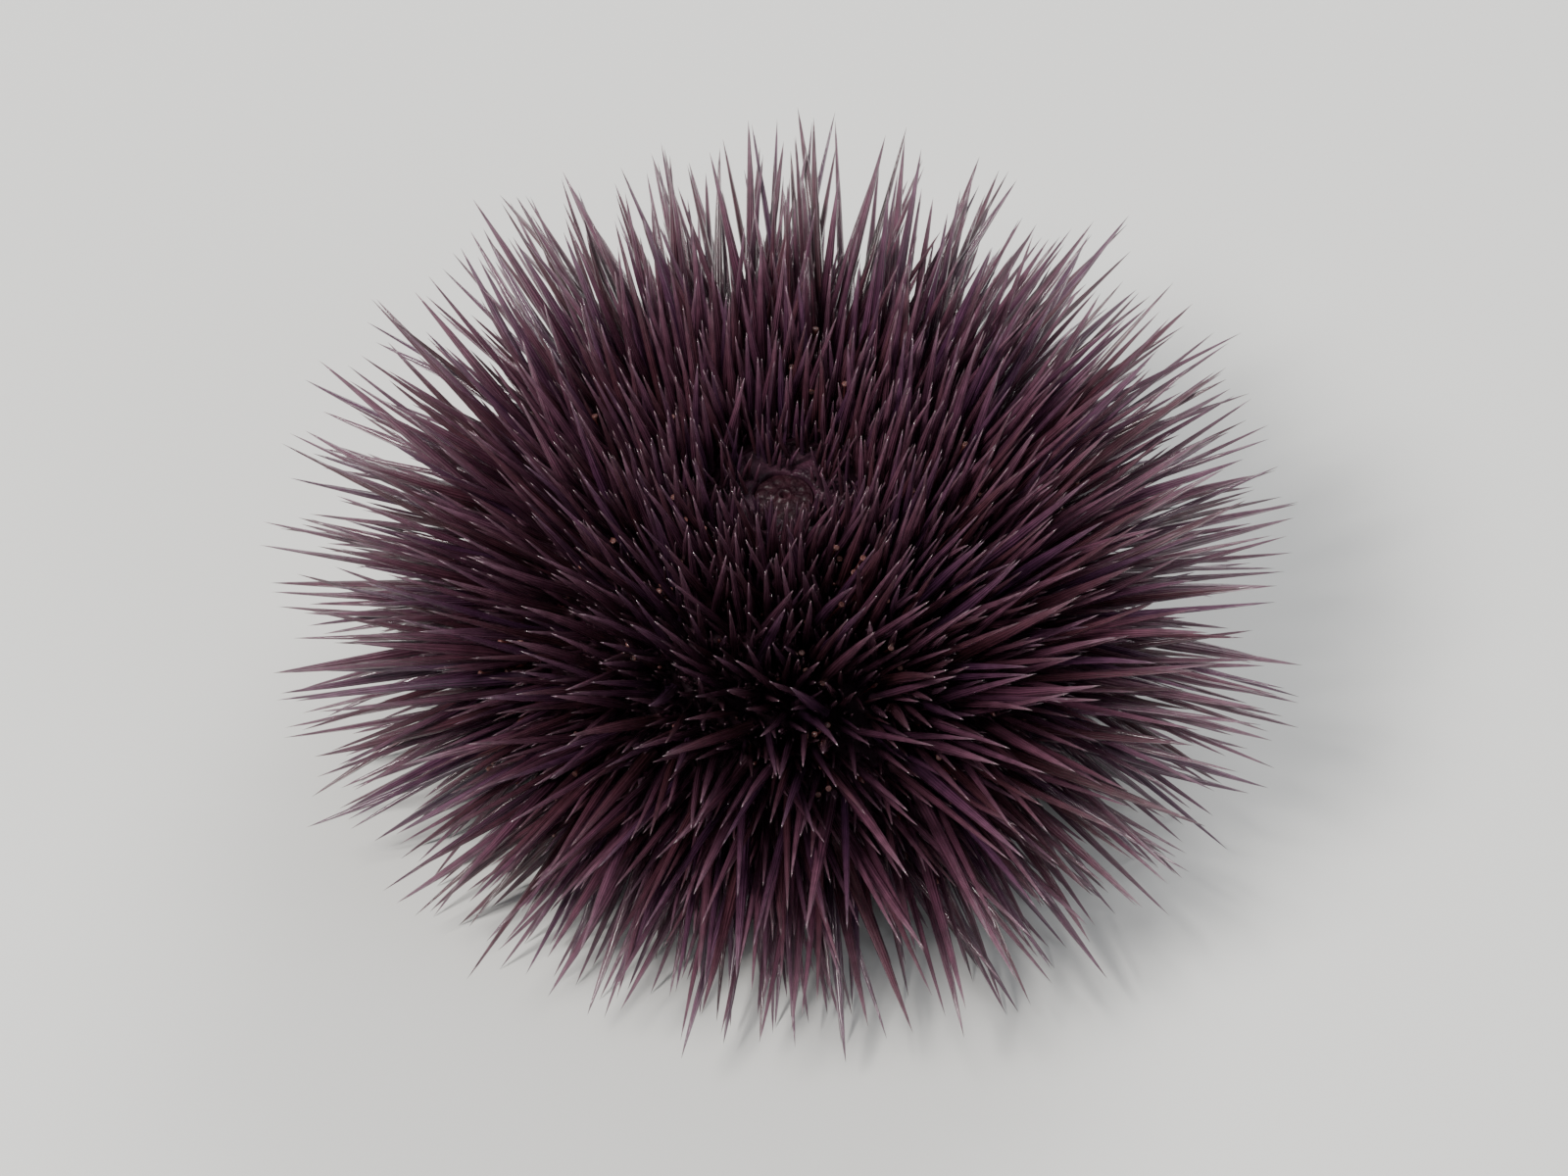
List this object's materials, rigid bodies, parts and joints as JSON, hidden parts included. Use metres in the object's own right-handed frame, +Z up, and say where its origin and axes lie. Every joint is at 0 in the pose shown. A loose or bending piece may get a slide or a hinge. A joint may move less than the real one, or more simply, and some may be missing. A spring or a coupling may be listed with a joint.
{
  "type": "purple sea urchin",
  "caption": "Life-size still model of a purple sea urchin, standing on its lower spines, with spiny shell sectors, apical disc, mouth membrane and teeth.",
  "frame": {"origin": "on the floor, under the middle of the shell", "axes": "+Z up through the crown, +X along the middle of the first ambulacrum"},
  "size_m": [0.0883, 0.0894, 0.0451],
  "materials": {
    "spine": "wet calcite spine under a thin dark wine purple skin",
    "test": "dark purple skin over the shell, with raised tubercles",
    "apical_plate": "dull purple calcite plates",
    "skin": "moist brownish purple membrane",
    "tube_foot": "moist red brown tube foot with a paler sucker",
    "tooth": "polished white calcite"
  },
  "bodies": {
    "root": {"ambulacrum_1": "spine", "ambulacrum_2": "spine", "ambulacrum_3": "spine", "ambulacrum_4": "spine", "ambulacrum_5": "spine", "interambulacrum_1": "spine", "interambulacrum_2": "spine", "interambulacrum_3": "spine", "interambulacrum_4": "spine", "interambulacrum_5": "spine", "apical_disc": "apical_plate", "periproct": "skin", "peristome": "skin", "lantern_teeth": "tooth"}
  },
  "joints": []
}
